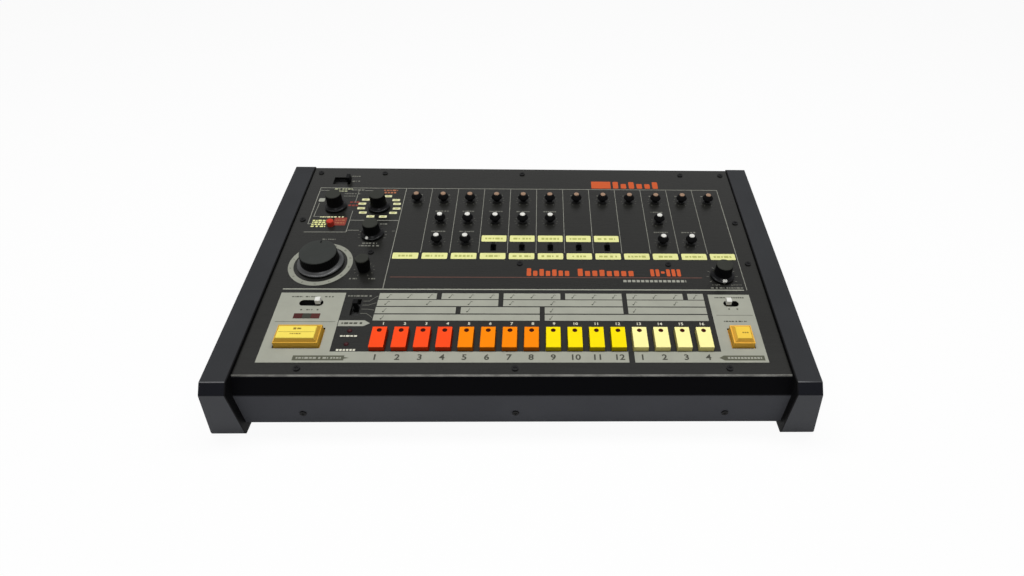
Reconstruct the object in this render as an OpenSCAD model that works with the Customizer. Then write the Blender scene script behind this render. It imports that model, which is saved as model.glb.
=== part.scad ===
// Desk-top rhythm machine: a folded steel case between two plastic end cheeks,
// with a sloping control panel of knobs, step keys, buttons and slide switches.
// Millimetres. X runs to the right, Y to the rear and Z up; the origin is on the
// table under the middle of the case. Places on the panel are (u, v, w): u across,
// v up the slope from the panel's front edge, and w out of the panel's face.

/* [Case] */
// Overall width, across the feet of the cheeks
case_w = 508; // [500:1:530]
// Overall depth, cheek nose to cheek rear
case_d = 305; // [300:1:320]
// Height of the cheeks at the rear
cheek_rear_h = 96; // [92:1:104]
// Thickness of a cheek at its top
cheek_t = 20.8; // [16:0.2:22]
// How far a cheek's foot spreads beyond its top
cheek_flare = 8; // [4:0.5:12]
// Slope of the control panel in degrees
panel_slope = 6.8; // [5:0.1:7.5]
// Height of the panel's front edge over the table
panel_front_h = 60.3; // [56:0.1:62]
// Thickness of the panel and case sheet
sheet_t = 1.6; // [1:0.1:2]
// Clearance from the table to the case's floor
floor_clear = 8; // [4:0.5:12]

/* [Step keys] */
// Number of step keys
keys = 16; // [12:1:16]
// Spacing of the step keys, as a share of the panel's width
key_pitch = 0.0406; // [0.038:0.0001:0.0414]
// Width of a step key
key_w = 12.1; // [10:0.1:14]
// Length of a step key along the slope
key_l = 22.7; // [18:0.1:23]
// Height of a step key over the panel
key_h = 4.6; // [3:0.1:7]
// How far a step key can be pushed in
key_travel = 2; // [1:0.1:2.5]

/* [Voice columns] */
// Number of voice columns, each with a level knob
voices = 12; // [11:1:12]
// Spacing of the voice columns, as a share of the panel's width
voice_pitch = 0.06119; // [0.058:0.0001:0.0614]
// Radius of a small knob where it is widest
small_r = 5.6; // [4:0.1:6]
// Height of a small knob over the panel
small_h = 9.6; // [8:0.1:12]

/* [Large knobs] */
// Radius of the grip of a selector knob
selector_r = 7.6; // [6:0.1:8.5]
// Radius of the skirt of a selector knob
selector_skirt_r = 11; // [9.5:0.1:12]
// Height of the mode and instrument knobs over the panel
selector_h = 17; // [14:0.1:19]
// Height of the fill and volume knobs over the panel
dial_h = 15.2; // [13:0.1:18]
// Radius of the grip of the tempo knob
tempo_r = 17; // [14:0.1:18]
// Radius of the skirt of the tempo knob
tempo_skirt_r = 21.2; // [19:0.1:22]
// Height of the tempo knob over the panel
tempo_h = 14.5; // [12:0.1:18]
// Radius of the fine tempo knob
fine_r = 6.4; // [5:0.1:7]
// Height of the fine tempo knob over the panel
fine_h = 14.5; // [12:0.1:18]

/* [Buttons] */
// Width of the start button
start_w = 36.6; // [34:0.1:40]
// Width of the tap button
tap_w = 17.8; // [16:0.1:21]
// Length of both large buttons along the slope
button_l = 20.4; // [18:0.1:23]
// Height of both large buttons over the panel
button_h = 9; // [7:0.1:12]
// Radius of the clear button
clear_r = 3.5; // [3:0.1:4]

/* [Rear sockets] */
// Number of jack sockets in the rear row
jacks = 16; // [12:1:16]
// Spacing of the jack sockets
jack_pitch = 23; // [22:0.5:24]
// Radius of a jack socket's bore
jack_bore_r = 3.25; // [3.2:0.01:3.4]

/* [Hidden] */
$fn = 48;

// Gaps and clearances
edge_gap = 0.5;
key_gap = 0.5;
button_gap = 1.1;
slide_gap = 0.4;
shaft_gap = 0.05;
end_gap = 0.4;
hole_gap = 0.2;
screw_gap = 0.3;
eps = 0.01;

// Case, in the Y-Z plane
nose_y = -case_d / 2;
rear_y = case_d / 2;
case_inner_w = case_w - 2 * cheek_flare - 2 * cheek_t;
panel_setback = 16.6;
panel_rear_setback = 1.5;
panel_front_y = nose_y + panel_setback;
panel_l = (case_d - panel_setback - panel_rear_setback) / cos(panel_slope);
panel_w = case_inner_w - 2 * edge_gap;
case_rear_y = rear_y - panel_rear_setback - 1;
// A place on the panel, from shares of its width and length
function spot(u, v) = [u * panel_w, v * panel_l];
// The case front folds out to a blunt edge and back in to its toe
fold_y = nose_y + 9.5;
fold_h = panel_front_h - 16.3;
toe_y = nose_y + 14.4;
// The cheek's top edge, its nose and its toe
cheek_rise = 1.7;
cheek_top_y = nose_y + 7.1;
cheek_toe_y = nose_y + 8.5;
nose_h = panel_front_h - 5.9;
under_y = panel_front_y + sheet_t * sin(panel_slope);
under_h = panel_front_h - sheet_t * cos(panel_slope);
rear_under_h = under_h + (case_rear_y - under_y) * tan(panel_slope);
case_outline = [
    [toe_y, floor_clear],
    [case_rear_y, floor_clear],
    [case_rear_y, rear_under_h],
    [under_y, under_h],
    [fold_y, fold_h]
];
cheek_outline = [
    [cheek_toe_y, 0],
    [rear_y, 0],
    [rear_y, cheek_rear_h],
    [cheek_top_y, panel_front_h + cheek_rise],
    [nose_y, nose_h]
];
cheek_corner_r = 1.8;
cheek_foot_r = 2.4;
cheek_wall = 4;
ledge_w = 8;
ledge_front = 14;
ledge_rear = 8;
flange_w = 14;

// Voice columns
voice_left = -0.27036;
level_v = 0.80227 * panel_l;
tone_v = 0.6846 * panel_l;
decay_v = 0.57211 * panel_l;
voice_switch_v = 0.54338 * panel_l;
function voice_u(i) = (voice_left + voice_pitch * (i + 0.5)) * panel_w;
tone_columns = [1, 2, 3, 4, 5, 9];
decay_columns = [1, 2, 9, 10];
switch_columns = [3, 4, 5, 6, 7];

// Step keys
key_u0 = -0.25523;
key_v = 0.1291 * panel_l;
lip_lap = 0.5;
lip_t = 1.6;
stem_r = 1.8;
lamp_well_r = 2.1;
lamp_well_inset = 3.8;
function key_u(i) = (key_u0 + key_pitch * i) * panel_w;

// Buttons
start_at = spot(-0.4034, 0.1381);
tap_at = spot(0.4254, 0.1381);
clear_at = spot(-0.41789, 0.65967);
clear_h = 5.5;
step_share = 0.59;
step_in = 2.9;
step_front = 2.5;
step_rear = 5;

// Large knobs: place on the panel
mode_at = spot(-0.41967, 0.75901);
instrument_at = spot(-0.32221, 0.75901);
fill_at = spot(-0.32043, 0.60741);
volume_at = spot(0.42101, 0.40494);
tempo_at = spot(-0.4101, 0.46101);
fine_at = spot(-0.31731, 0.43194);
selector_places = [mode_at, instrument_at, fill_at, volume_at];
skirt_t = 1.2;
skirt_rise = 3.2;
small_cap_r = 2.6;
small_foot_r = 2.6;
knob_lift = 1.2;

// Shafts, pots and boards
shaft_r = 3;
bushing_r = 4.2;
bushing_top = 0.8;
pot_top = -3;
pot_w = 10;
selector_pot_w = 20;
tempo_pot_w = 17;
board_top = -15;
board_t = 1.6;
standoff_r = 3.5;
knob_board_v = [0.36687, 0.94833] * panel_l;
key_board_v = [0.03461, 0.35303] * panel_l;
board_half_w = panel_w / 2 - 18.7;

// Slide switches: place, slot size along u and v, lever offset, lever size along u and v
power_sw = concat(spot(-0.4262, 0.91821), [18.2, 12.6, 7, 0, 3.6, 7]);
scale_sw = concat(spot(-0.3142, 0.26304), [7.6, 19.8, 0, 2.1, 4.4, 4.6]);
variation_sw = concat(spot(-0.40231, 0.28104), [21, 7.2, 6.4, 0, 4.4, 5]);
fill_sw = concat(spot(0.4239, 0.28138), [13.8, 7.2, -2.6, 0, 4.4, 5]);
voice_sw_w = 5.6;
voice_sw_l = 9.2;
voice_sw_offset = 1.8;
voice_lever = 3.4;
power_lever_h = 6.4;
lever_h = 5.2;
voice_lever_h = 4;
slider_t = 2.2;
neck_in = 0.6;
neck_h = 1;
housing_wall = 1.2;
housing_drop = 1.2;
channel_run = 0.8;

// Lamps
lamp_places = [spot(-0.31331, 0.16613), spot(-0.31331, 0.11421)];
lamp_r = 2;

// Fasteners
screw_head_r = 2.8;
screw_head_h = 1;
screw_r = 1.4;
screw_l = 5;
screw_cross = 3.2;
screw_slot = 0.7;
side_screw_u = panel_w / 2 - 7.6;
screw_edge = 9.5;
front_screw_u = 0.38941 * panel_w;
front_screw_h = 21;
rear_screw_v = panel_l - screw_edge;
panel_screws = [
    [-side_screw_u, rear_screw_v], [side_screw_u, rear_screw_v],
    [-0.33044 * panel_w, rear_screw_v], [0, rear_screw_v], [0.38496 * panel_w, rear_screw_v],
    [-side_screw_u, 0.68529 * panel_l], [side_screw_u, 0.67837 * panel_l],
    [side_screw_u, 0.46551 * panel_l],
    [-front_screw_u, 7], [0, 7], [front_screw_u, 7]
];
board_screws = [spot(0.00178, 0.46309), spot(0.31375, 0.46101), spot(-0.31375, 0.5157)];

// Rear fittings
jack_h = 44;
jack_depth = 22;
jack_ring_r = 6.2;
jack_body_w = 13;
jack_nut_t = 2.4;
jack_neck_r = 4.8;
jack_u0 = -(jacks - 1) * jack_pitch / 2 + 12;
din_at = [0.33378 * panel_w, 72];
din_bore_r = 6.9;
din_depth = 8;
gland_inset = 19.2;
gland_at = [case_inner_w / 2 - gland_inset, 24];
gland_r = 7;
gland_bore_r = 3.6;
battery_lid = [82, 26];
battery_inset = 60.2;
battery_at = [battery_inset - case_inner_w / 2, 72];

// ---- Helpers ----

// Unit normal to the left of the edge from a to b
function left_normal(a, b) = [a[1] - b[1], b[0] - a[0]] / norm(b - a);

// A convex anticlockwise outline moved in by d along every edge
function inset(points, d) = [
    for (i = [0 : len(points) - 1])
        let (n = len(points), here = points[i])
        let (before = left_normal(points[(i + n - 1) % n], here))
        let (after = left_normal(here, points[(i + 1) % n]))
        here + d * (before + after) / (1 + before * after)
];

// A convex outline with every corner rounded to radius r
function rounded(points, r) = [
    for (i = [0 : len(points) - 1])
        let (n = len(points), here = points[i], centre = inset(points, r)[i])
        let (before = left_normal(points[(i + n - 1) % n], here))
        let (after = left_normal(here, points[(i + 1) % n]))
        let (start = atan2(-before[1], -before[0]), end = atan2(-after[1], -after[0]))
        let (turn = end < start ? end + 360 - start : end - start)
        for (k = [0 : 4]) centre + r * [cos(start + turn * k / 4), sin(start + turn * k / 4)]
];

// Moves children to the panel's frame: u, v, w
module on_panel(u = 0, v = 0, w = 0) {
    translate([0, panel_front_y, panel_front_h])
        rotate([panel_slope, 0, 0])
            translate([u, v, w])
                children();
}

// A side outline in Y-Z, extruded from x0 to x1
module side_prism(points, x0, x1) {
    translate([x0, 0, 0])
        rotate([90, 0, 90])
            linear_extrude(x1 - x0)
                polygon(points);
}

// A box centred on the origin in X and Y, from z0 to z1
module slab(w, l, z0, z1) {
    translate([-w / 2, -l / 2, z0])
        cube([w, l, z1 - z0]);
}

// A cylinder from z0 to z1
module rod(r, z0, z1) {
    translate([0, 0, z0])
        cylinder(r = r, h = z1 - z0);
}

// A slot with round ends, along its longer side
module round_slot(w, l, z0, z1) {
    r = min(w, l) / 2;
    reach = max(w, l) / 2 - r;
    along = w > l ? [1, 0, 0] : [0, 1, 0];
    slab(w > l ? w - 2 * r : w, w > l ? l : l - 2 * r, z0, z1);
    for (side = [-1, 1])
        translate(side * reach * along)
            rod(r, z0, z1);
}

// ---- Control panel ----

module panel_openings() {
    z0 = -sheet_t - 1;
    z1 = 1;
    hole_r = bushing_r + hole_gap;
    for (i = [0 : voices - 1])
        translate([voice_u(i), level_v, 0])
            rod(hole_r, z0, z1);
    for (c = tone_columns)
        translate([voice_u(c), tone_v, 0])
            rod(hole_r, z0, z1);
    for (c = decay_columns)
        translate([voice_u(c), decay_v, 0])
            rod(hole_r, z0, z1);
    for (p = concat(selector_places, [tempo_at, fine_at]))
        translate([p[0], p[1], 0])
            rod(hole_r, z0, z1);
    for (i = [0 : keys - 1])
        translate([key_u(i), key_v, 0])
            slab(key_w + 2 * key_gap, key_l + 2 * key_gap, z0, z1);
    translate([start_at[0], start_at[1], 0])
        slab(start_w + 2 * button_gap, button_l + 2 * button_gap, z0, z1);
    translate([tap_at[0], tap_at[1], 0])
        slab(tap_w + 2 * button_gap, button_l + 2 * button_gap, z0, z1);
    translate([clear_at[0], clear_at[1], 0])
        rod(clear_r + key_gap, z0, z1);
    for (s = [power_sw, scale_sw])
        translate([s[0], s[1], 0])
            slab(s[2], s[3], z0, z1);
    for (s = [variation_sw, fill_sw])
        translate([s[0], s[1], 0])
            round_slot(s[2], s[3], z0, z1);
    for (c = switch_columns)
        translate([voice_u(c), voice_switch_v, 0])
            slab(voice_sw_w, voice_sw_l, z0, z1);
    for (p = lamp_places)
        translate([p[0], p[1], 0])
            rod(lamp_r + hole_gap, z0, z1);
    for (p = concat(panel_screws, board_screws))
        translate([p[0], p[1], 0])
            rod(screw_r + screw_gap, z0, z1);
}

module control_panel() {
    color("#3c3b38")
        on_panel()
            difference() {
                translate([-panel_w / 2, 0, -sheet_t])
                    cube([panel_w, panel_l, sheet_t]);
                panel_openings();
            }
}

// ---- Chassis ----

// The window that the flanges leave open under the panel
module chassis_window() {
    on_panel(0, panel_l / 2, 0)
        slab(case_inner_w - 2 * flange_w, panel_l - 2 * flange_w, -3 * sheet_t, 1);
}

module front_screw_axes() {
    lean = atan((toe_y - fold_y) / (fold_h - floor_clear));
    face_y = toe_y - (front_screw_h - floor_clear) * tan(lean);
    for (u = [-front_screw_u, 0, front_screw_u])
        translate([u, face_y, front_screw_h])
            rotate([90 + lean, 0, 0])
                children();
}

// Runs children at each jack's axis, with +Z pointing out of the rear
module jack_axes() {
    for (i = [0 : jacks - 1])
        translate([jack_u0 + jack_pitch * i, case_rear_y, jack_h])
            rotate([-90, 0, 0])
                children();
}

module chassis() {
    color("#2f3033")
        difference() {
            side_prism(case_outline, -case_inner_w / 2, case_inner_w / 2);
            side_prism(inset(case_outline, sheet_t),
                sheet_t - case_inner_w / 2, case_inner_w / 2 - sheet_t);
            chassis_window();
            for (p = panel_screws)
                on_panel(p[0], p[1])
                    rod(screw_r + screw_gap, -3 * sheet_t, 0);
            front_screw_axes()
                rod(screw_r + screw_gap, -3 * sheet_t, 1);
            jack_axes()
                rod(jack_neck_r + hole_gap, -2 * sheet_t, 1);
            translate([din_at[0], case_rear_y, din_at[1]])
                rotate([-90, 0, 0])
                    rod(din_bore_r + 1.2 + hole_gap, -2 * sheet_t, 1);
            translate([gland_at[0], case_rear_y, gland_at[1]])
                rotate([-90, 0, 0])
                    rod(gland_r - 2 + hole_gap, -2 * sheet_t, 1);
        }
}

// ---- Cheeks ----

// The right-hand cheek: outline from the side, spread at the foot, hollow behind
module cheek() {
    x0 = case_inner_w / 2;
    x1 = x0 + cheek_t;
    lean = atan(cheek_flare / nose_h);
    foot_x = x1 + cheek_flare - cheek_foot_r * (tan(lean) + 1 / cos(lean));
    difference() {
        intersection() {
            side_prism(rounded(cheek_outline, cheek_corner_r), x0, x1 + cheek_flare);
            translate([0, rear_y + 1, 0])
                rotate([90, 0, 0])
                    linear_extrude(case_d + 2)
                        polygon(concat(
                            [[x0, 0]],
                            [for (k = [0 : 4]) let (a = (90 + lean) * k / 4 - 90)
                                [foot_x, cheek_foot_r] + cheek_foot_r * [cos(a), sin(a)]],
                            [[x1, nose_h], [x1, cheek_rear_h + 1], [x0, cheek_rear_h + 1]]
                        ));
        }
        side_prism(inset(case_outline, cheek_wall), x0 - 1, x1 - cheek_wall);
    }
    translate([x0 - ledge_w, toe_y + ledge_front, 0])
        cube([ledge_w + eps, case_rear_y - toe_y - ledge_front - ledge_rear, floor_clear]);
}

module right_cheek() {
    color("#3a3b3f")
        cheek();
}

module left_cheek() {
    color("#3a3b3f")
        mirror([1, 0, 0])
            cheek();
}

// ---- Screws ----

// A pan-head screw with its head over z = 0
module screw() {
    difference() {
        union() {
            rod(screw_head_r, 0, screw_head_h);
            rod(screw_r, -screw_l, eps);
        }
        slab(screw_cross, screw_slot, screw_head_h / 2, screw_head_h + 1);
        slab(screw_slot, screw_cross, screw_head_h / 2, screw_head_h + 1);
    }
}

module case_screws() {
    color("#161616") {
        for (p = concat(panel_screws, board_screws))
            on_panel(p[0], p[1])
                screw();
        front_screw_axes()
            screw();
    }
}

// ---- Boards, pots and switch bodies under the panel ----

// A pot or rotary switch standing on its board, with a blind bore for the shaft
module pot(w) {
    difference() {
        union() {
            slab(w, w, board_top, pot_top);
            rod(bushing_r, pot_top - eps, bushing_top);
        }
        rod(shaft_r + shaft_gap, board_top + 2, bushing_top + 1);
    }
}

// A push switch: a box on the board with a well for the stem
module push_switch(w, well_r) {
    difference() {
        slab(w, w, board_top, -sheet_t - lip_t - key_travel - 1.2);
        rod(well_r, board_top + 1, 0);
    }
}

// A slide switch housing: a box on the board with a channel for the slider
module slide_housing(w, l) {
    top = -sheet_t - housing_drop;
    difference() {
        slab(w + 2 * housing_wall, l + 2 * housing_wall, board_top, top);
        slab(w, l, top - slider_t - 2 * slide_gap, top + 1);
    }
}

module pots() {
    for (i = [0 : voices - 1])
        on_panel(voice_u(i), level_v)
            pot(pot_w);
    for (c = tone_columns)
        on_panel(voice_u(c), tone_v)
            pot(pot_w);
    for (c = decay_columns)
        on_panel(voice_u(c), decay_v)
            pot(pot_w);
    for (p = selector_places)
        on_panel(p[0], p[1])
            pot(selector_pot_w);
    on_panel(tempo_at[0], tempo_at[1])
        pot(tempo_pot_w);
    on_panel(fine_at[0], fine_at[1])
        pot(pot_w);
}

module switch_bodies() {
    well_r = stem_r + slide_gap;
    for (i = [0 : keys - 1])
        on_panel(key_u(i), key_v)
            push_switch(8, well_r);
    for (p = [start_at, tap_at, clear_at])
        on_panel(p[0], p[1])
            push_switch(8, well_r);
    for (s = [power_sw, scale_sw, variation_sw, fill_sw])
        on_panel(s[0], s[1])
            slide_housing(s[2] + 2 * channel_run, s[3]);
    for (c = switch_columns)
        on_panel(voice_u(c), voice_switch_v)
            slide_housing(voice_sw_w, voice_sw_l);
}

// A board under the panel between two places up the slope
module panel_board(v0, v1) {
    on_panel(0, (v0 + v1) / 2)
        slab(2 * board_half_w, v1 - v0, board_top - board_t, board_top);
}

// A stand-off from the panel to its board, bored for the screw
module standoff(depth) {
    difference() {
        rod(standoff_r, depth, -sheet_t);
        rod(screw_r + screw_gap, -screw_l - 1, 0);
    }
}

transformer = [62, 46, 40];
transformer_inset = [60.2, 90];
main_board = [0.51179 * panel_w, 0.51916 * panel_l];
main_board_at = [-0.08901 * panel_w, 0];
main_post_r = 3;
main_post_h = 8;
chip = [36, 14, 4];
chip_spots = [
    for (x = [-0.3, -0.09, 0.13], y = [-0.27, 0.13])
        main_board_at + [x * main_board[0], y * main_board[1]]
];

module main_board_set() {
    base = floor_clear + sheet_t;
    deck = base + main_post_h;
    translate([main_board_at[0], main_board_at[1], 0]) {
        slab(main_board[0], main_board[1], deck, deck + board_t);
        for (x = [-1, 1], y = [-1, 1])
            translate([x * (main_board[0] / 2 - 8), y * (main_board[1] / 2 - 8), 0])
                rod(main_post_r, base, deck);
    }
    for (p = chip_spots)
        translate([p[0], p[1], 0])
            slab(chip[0], chip[1], deck + board_t, deck + board_t + chip[2]);
}

module power_supply() {
    base = floor_clear + sheet_t;
    x = case_inner_w / 2 - transformer_inset[0];
    y = case_rear_y - transformer_inset[1];
    translate([x, y, base]) {
        slab(transformer[0], transformer[1], 0, transformer[2] * 0.2);
        slab(transformer[0] * 0.62, transformer[1], transformer[2] * 0.2, transformer[2]);
    }
}

module circuit_boards() {
    color("#3d6b45") {
        panel_board(knob_board_v[0], knob_board_v[1]);
        panel_board(key_board_v[0], key_board_v[1]);
        for (p = board_screws)
            on_panel(p[0], p[1])
                standoff(board_top);
        for (u = [-1, 1], v = [key_board_v[0] + 10, key_board_v[1] - 6])
            on_panel(u * (board_half_w - 5), v)
                standoff(board_top);
        pots();
        switch_bodies();
        main_board_set();
        power_supply();
    }
}

// ---- Rear fittings ----

module jack() {
    difference() {
        union() {
            slab(jack_body_w, jack_body_w, -sheet_t - jack_depth - 2, -sheet_t);
            rod(jack_neck_r, -sheet_t - eps, jack_nut_t - 0.4);
            rod(jack_ring_r, 0, jack_nut_t - 1);
        }
        rod(jack_bore_r, -sheet_t - jack_depth, jack_nut_t + 1);
    }
}

module din_socket() {
    shell_r = din_bore_r + 1.2;
    difference() {
        union() {
            rod(shell_r, -din_depth - 2, 0);
            slab(22, 22, 0, 1.2);
        }
        rod(din_bore_r, -din_depth, 2);
    }
}

module cable_gland() {
    difference() {
        union() {
            rod(gland_r, 0, 1.6);
            rod(gland_r - 2, -6, eps);
        }
        rod(gland_bore_r, -7, 3);
    }
}

module rear_sockets() {
    color("#8f9194") {
        jack_axes()
            jack();
        translate([din_at[0], case_rear_y, din_at[1]])
            rotate([-90, 0, 0])
                din_socket();
        translate([gland_at[0], case_rear_y, gland_at[1]])
            rotate([-90, 0, 0])
                cable_gland();
        translate([battery_at[0], case_rear_y, battery_at[1]])
            rotate([-90, 0, 0])
                slab(battery_lid[0], battery_lid[1], 0, 1.5);
    }
}

// ---- Lamps ----

module indicator_lamps() {
    color("#8c2b34")
        for (p = lamp_places)
            on_panel(p[0], p[1]) {
                rod(lamp_r, board_top, 0);
                intersection() {
                    translate([0, 0, -1])
                        sphere(r = lamp_r * 1.12);
                    rod(lamp_r, 0, lamp_r);
                }
            }
}

// ---- Knobs ----

// The shaft, from inside its pot up into the knob
module shaft(top) {
    rod(shaft_r, board_top + 2 + end_gap, top);
}

// A knob with a round grip over a flared skirt
module skirted_knob(grip_r, skirt_r, h) {
    rotate_extrude()
        polygon([
            [0, knob_lift], [skirt_r, knob_lift], [skirt_r, knob_lift + skirt_t],
            [grip_r + 0.6, knob_lift + skirt_rise], [grip_r, h - 0.8],
            [grip_r - 0.8, h], [0, h]
        ]);
    shaft(knob_lift + eps);
}

// A small knob: a narrow foot, a grip that slopes in to a cap let into its top
module small_knob(cap_colour) {
    color("#141414") {
        rotate_extrude()
            polygon([
                [0, knob_lift], [small_foot_r, knob_lift], [small_r, small_h * 0.42],
                [small_r, small_h * 0.52], [small_cap_r + 0.5, small_h - 1], [0, small_h - 1]
            ]);
        shaft(knob_lift + eps);
    }
    color(cap_colour)
        rod(small_cap_r, small_h - 1 - eps, small_h);
}

module selector_knob(place, h) {
    color("#1a1a1a")
        on_panel(place[0], place[1])
            skirted_knob(selector_r, selector_skirt_r, h);
}

module mode_knob() {
    selector_knob(mode_at, selector_h);
}

module instrument_knob() {
    selector_knob(instrument_at, selector_h);
}

module fill_knob() {
    selector_knob(fill_at, dial_h);
}

module volume_knob() {
    selector_knob(volume_at, dial_h);
}

module tempo_knob() {
    color("#2a2b2b")
        on_panel(tempo_at[0], tempo_at[1])
            skirted_knob(tempo_r, tempo_skirt_r, tempo_h);
}

module fine_knob() {
    color("#1a1a1a")
        on_panel(fine_at[0], fine_at[1]) {
            rotate_extrude()
                polygon([
                    [0, knob_lift], [fine_r * 0.88, knob_lift], [fine_r, fine_h * 0.5],
                    [fine_r, fine_h - 0.6], [fine_r - 0.6, fine_h], [0, fine_h]
                ]);
            shaft(knob_lift + eps);
        }
}

module level_knob(i) {
    on_panel(voice_u(i), level_v)
        small_knob("#c8683c");
}

module tone_knob(i) {
    on_panel(voice_u(tone_columns[i]), tone_v)
        small_knob("#f0efe8");
}

module decay_knob(i) {
    on_panel(voice_u(decay_columns[i]), decay_v)
        small_knob("#f0efe8");
}

// ---- Keys and buttons ----

// The lip that stops a key under the panel, and the stem into its switch
module key_foot(w, l, gap = key_gap) {
    lip_top = -sheet_t - 0.3;
    lip = gap + lip_lap;
    slab(w + 2 * lip, l + 2 * lip, lip_top - lip_t, lip_top);
    rod(stem_r, board_top + 1 + key_travel + end_gap, lip_top - lip_t + eps);
}

key_colours = ["#f4481e", "#fb8a0c", "#f6e40a", "#f6f2a8"];

module step_key(i) {
    color(key_colours[min(3, floor(i / 4))])
        on_panel(key_u(i), key_v)
            difference() {
                union() {
                    slab(key_w, key_l, -sheet_t - 0.4, key_h);
                    key_foot(key_w, key_l);
                }
                translate([0, key_l / 2 - lamp_well_inset, 0])
                    rod(lamp_well_r, key_h - 1.2, key_h + 1);
            }
}

// A stepped button: a broad base and a narrower top with sloping sides
module stepped_button(w) {
    step_h = step_share * button_h;
    slab(w, button_l, -sheet_t - 0.4, step_h);
    key_foot(w, button_l, button_gap);
    translate([0, 0, step_h - eps])
        hull() {
            slab(w - 1.6, button_l - 1.6, 0, eps);
            translate([0, (step_front - step_rear) / 2, button_h - step_h - eps])
                slab(w - 2 * step_in, button_l - step_rear - step_front, 0, eps);
        }
}

module start_button() {
    color("#f4d548")
        on_panel(start_at[0], start_at[1])
            stepped_button(start_w);
}

module tap_button() {
    color("#e0a92e")
        on_panel(tap_at[0], tap_at[1])
            stepped_button(tap_w);
}

module clear_button() {
    color("#c9352a")
        on_panel(clear_at[0], clear_at[1]) {
            rotate_extrude()
                polygon([
                    [0, -sheet_t - 0.4], [clear_r, -sheet_t - 0.4], [clear_r, clear_h - 0.8],
                    [clear_r - 0.8, clear_h], [0, clear_h]
                ]);
            key_foot(2 * clear_r, 2 * clear_r);
        }
}

// ---- Slide-switch levers ----

// A slider in its channel with a lever standing up through the panel's slot
module lever(w, l, h) {
    floor_z = -sheet_t - housing_drop - slider_t - slide_gap;
    slab(w + 1.6, l, floor_z, floor_z + slider_t);
    slab(w - 2 * neck_in, l - 2 * neck_in, floor_z + slider_t - eps, neck_h);
    slab(w, l, neck_h - eps, h);
}

module switch_lever(s, h) {
    on_panel(s[0] + s[4], s[1] + s[5])
        lever(s[6], s[7], h);
}

module power_lever() {
    color("#121212")
        switch_lever(power_sw, power_lever_h);
}

module scale_lever() {
    color("#121212")
        switch_lever(scale_sw, lever_h);
}

module variation_lever() {
    color("#e9e8e2")
        switch_lever(variation_sw, lever_h);
}

module fill_lever() {
    color("#e9e8e2")
        switch_lever(fill_sw, lever_h);
}

module voice_levers() {
    color("#121212")
        for (c = switch_columns)
            on_panel(voice_u(c), voice_switch_v + voice_sw_offset)
                lever(voice_lever, voice_lever, voice_lever_h);
}

control_panel();
chassis();
left_cheek();
right_cheek();
case_screws();
circuit_boards();
rear_sockets();
indicator_lamps();
mode_knob();
instrument_knob();
fill_knob();
volume_knob();
tempo_knob();
fine_knob();
start_button();
tap_button();
clear_button();
power_lever();
scale_lever();
variation_lever();
fill_lever();
voice_levers();
for (i = [0 : voices - 1])
    level_knob(i);
for (i = [0 : len(tone_columns) - 1])
    tone_knob(i);
for (i = [0 : len(decay_columns) - 1])
    decay_knob(i);
for (i = [0 : keys - 1])
    step_key(i);
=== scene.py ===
import math

import bpy
from mathutils import Matrix, Vector


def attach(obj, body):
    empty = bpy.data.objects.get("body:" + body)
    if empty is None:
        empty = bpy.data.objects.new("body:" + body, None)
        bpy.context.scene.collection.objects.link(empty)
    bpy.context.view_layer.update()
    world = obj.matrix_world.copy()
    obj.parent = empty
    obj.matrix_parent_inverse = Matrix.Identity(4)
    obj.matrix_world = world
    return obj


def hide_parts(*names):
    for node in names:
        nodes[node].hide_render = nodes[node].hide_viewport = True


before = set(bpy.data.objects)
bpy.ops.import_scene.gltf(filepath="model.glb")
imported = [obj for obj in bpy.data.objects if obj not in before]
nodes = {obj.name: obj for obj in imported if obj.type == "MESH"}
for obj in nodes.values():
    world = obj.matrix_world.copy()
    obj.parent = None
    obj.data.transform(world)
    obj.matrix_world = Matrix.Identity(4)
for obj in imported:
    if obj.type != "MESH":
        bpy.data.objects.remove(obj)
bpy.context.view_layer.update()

# ---- The panel's own frame: u across, v up the slope, w out of the face, in millimetres ----
MM = 0.001
SLOPE = math.radians(6.8)
CS, SN = math.cos(SLOPE), math.sin(SLOPE)
FRONT_Y, FRONT_H = -0.1359, 0.0603              # the face's front edge, in metres
FACE_START = FRONT_Y * CS + FRONT_H * SN        # that edge along the slope, in metres
FACE_DEPTH = -FRONT_Y * SN + FRONT_H * CS       # the face along its own normal, in metres
PANEL = Matrix(((MM, 0, 0, 0),
                (0, CS * MM, -SN * MM, FRONT_Y),
                (0, SN * MM, CS * MM, FRONT_H),
                (0, 0, 0, 1)))

# ---- Places on the panel, in millimetres ----
MODE, INSTRUMENT, FILL = (-188.6, 219.3), (-144.8, 219.3), (-144.0, 175.5)
VOLUME, TEMPO, FINE = (189.2, 117.0), (-184.3, 133.2), (-142.6, 124.8)
TEMPO_RING = (-184.4, 132.4)
START, TAP = (-181.3, 39.9), (191.2, 39.9)
START_HOLE, TAP_HOLE = (39.1, 22.9), (20.3, 22.9)
VARIATION_SLOT, FILL_SLOT = (-180.8, 81.2, 21, 7.2), (190.5, 81.3, 13.8, 7.2)
BUTTON_TOP, BUTTON_MARKS = 9.0, 9.04
VOICES, VOICE_LEFT, VOICE_PITCH = 12, -121.5, 27.5
LEVEL_V, TONE_V, DECAY_V = 231.8, 197.8, 165.3
TONE, DECAY = (1, 2, 3, 4, 5, 9), (1, 2, 9, 10)  # the voices with a tone and a decay knob
SWITCHED = range(3, 8)                           # the voices with a small lever
STEPS, PANEL_W = 16, 449.4
KEY_LEFT, KEY_PITCH = -0.25523, 0.0406           # shares of the panel's width
KEY_V, KEY_LEN, KEY_H = 37.3, 22.7, 4.6
LENS_INSET = 3.8


def at(u, v, w=0.0):
    return PANEL @ Matrix.Translation((u, v, w))


def voice_edge(i):
    return VOICE_LEFT + VOICE_PITCH * i


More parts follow.
